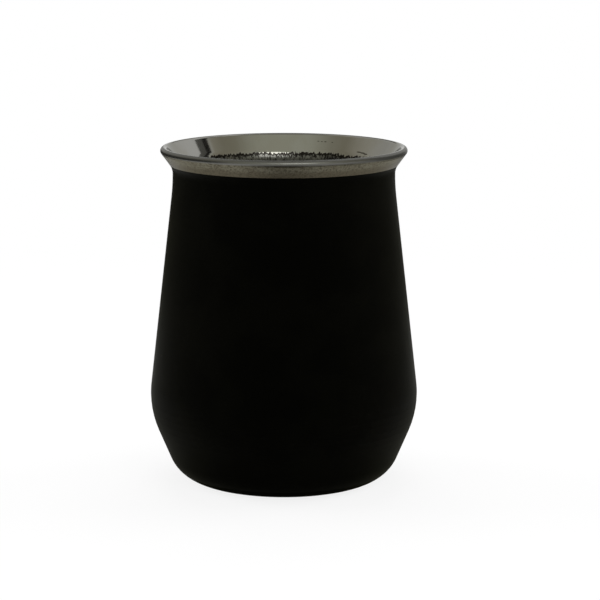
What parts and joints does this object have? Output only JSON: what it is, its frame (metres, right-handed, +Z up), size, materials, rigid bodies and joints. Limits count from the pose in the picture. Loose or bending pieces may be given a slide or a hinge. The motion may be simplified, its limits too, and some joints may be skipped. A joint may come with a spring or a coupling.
{
  "type": "stainless steel mate cup",
  "caption": "Vacuum-insulated stainless steel mate cup: black coated body with a wide belly, a drawn-in neck and a bare flared lip with a rolled edge.",
  "frame": {"origin": "on the table, at the middle of the foot ring", "axes": "+Z up along the cup's axis; -Y towards the viewer of the picture, +X to the viewer's right"},
  "size_m": [0.08, 0.08, 0.1004],
  "materials": {
    "black_coat": "fine matt powder coat on steel sheet",
    "bare_steel": "brushed and polished stainless steel sheet",
    "solder_glass": "melted solder glass",
    "getter_metal": "pressed porous metal powder"
  },
  "bodies": {
    "root": {"outer_shell": "black_coat", "inner_liner": "bare_steel", "liner_bottom": "bare_steel", "middle_bottom": "bare_steel", "glass_seal": "solder_glass", "getter_cup": "bare_steel", "getter_tablet": "getter_metal", "base_cover": "bare_steel"}
  },
  "joints": []
}
